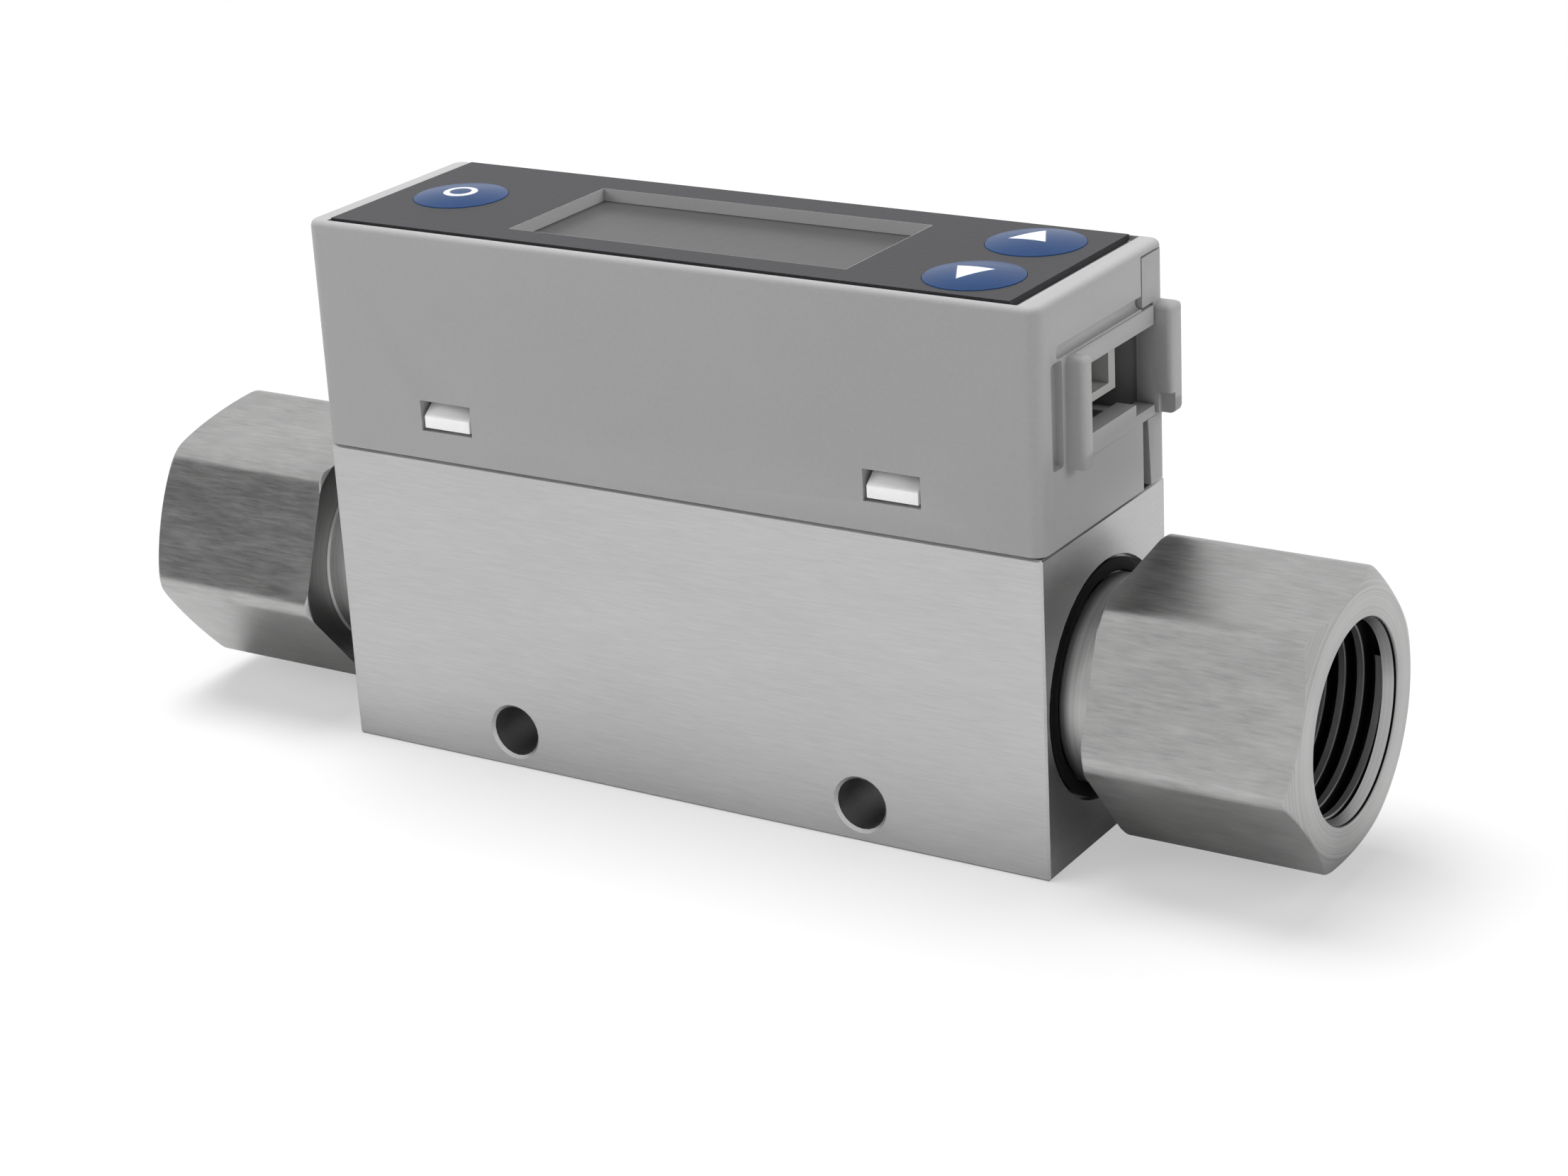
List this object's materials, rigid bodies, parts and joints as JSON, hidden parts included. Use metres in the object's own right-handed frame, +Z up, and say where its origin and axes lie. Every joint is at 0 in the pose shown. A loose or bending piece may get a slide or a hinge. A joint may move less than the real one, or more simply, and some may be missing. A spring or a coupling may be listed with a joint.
{
  "type": "gas mass flow meter",
  "caption": "Inline gas mass flow meter: metal flow block between hex pipe fittings, with a clip-on grey housing, display window, press keys and a side cable socket.",
  "frame": {"origin": "middle of the flow block's underside, which is also the middle of the bounding box's bottom", "axes": "+X along the gas flow towards the end with the cable socket, +Z up through the keypad, and the keypad is read from the -Y side"},
  "size_m": [0.1294, 0.028, 0.0552],
  "materials": {
    "satin_metal": "satin, fine grain along X",
    "turned_steel": "brushed",
    "screw_steel": "plain",
    "grey_plastic": "fine moulded texture",
    "white_plastic": "smooth moulded",
    "dark_film": "fine grain",
    "blue_gloss": "gloss",
    "black_rubber": "matt",
    "board_green": "solder mask",
    "display_grey": "unlit display",
    "black_plastic": "moulded",
    "tinned_contact": "tinned"
  },
  "bodies": {
    "meter": {"flow_block": "satin_metal", "inlet_fitting": "turned_steel", "outlet_fitting": "turned_steel", "inlet_seal": "black_rubber", "outlet_seal": "black_rubber", "inlet_straightener": "white_plastic", "outlet_straightener": "white_plastic", "sensor_carrier": "black_plastic", "sensor_gasket": "black_rubber", "sensor_chip": "display_grey", "sensor_header": "black_plastic", "sensor_screw_1": "screw_steel", "sensor_screw_2": "screw_steel", "inner_chassis": "white_plastic", "chassis_screw_1": "screw_steel", "chassis_screw_2": "screw_steel", "main_board": "board_green", "board_screw_1": "screw_steel", "board_screw_2": "screw_steel", "board_screw_3": "screw_steel", "board_screw_4": "screw_steel", "board_header": "black_plastic", "processor": "black_plastic", "cable_socket": "white_plastic", "socket_pin_1": "tinned_contact", "socket_pin_2": "tinned_contact", "socket_pin_3": "tinned_contact", "socket_pin_4": "tinned_contact", "display_board": "board_green", "display_screw_1": "screw_steel", "display_screw_2": "screw_steel", "display_screw_3": "screw_steel", "display_screw_4": "screw_steel", "backlight_frame": "white_plastic", "display_glass": "display_grey", "set_switch": "black_plastic", "up_switch": "black_plastic", "down_switch": "black_plastic", "keypad_overlay": "dark_film", "housing": "grey_plastic", "rear_cover": "grey_plastic"},
    "set_button": {"set_key": "blue_gloss"},
    "up_button": {"up_key": "blue_gloss"},
    "down_button": {"down_key": "blue_gloss"}
  },
  "joints": [
    {"name": "set_press", "type": "slide", "parent": "meter", "child": "set_button", "axis": [0, 0, -1], "range_m": [0, 0.0003], "stiffness_N_per_m": 2000},
    {"name": "up_press", "type": "slide", "parent": "meter", "child": "up_button", "axis": [0, 0, -1], "range_m": [0, 0.0003], "stiffness_N_per_m": 2000},
    {"name": "down_press", "type": "slide", "parent": "meter", "child": "down_button", "axis": [0, 0, -1], "range_m": [0, 0.0003], "stiffness_N_per_m": 2000}
  ]
}
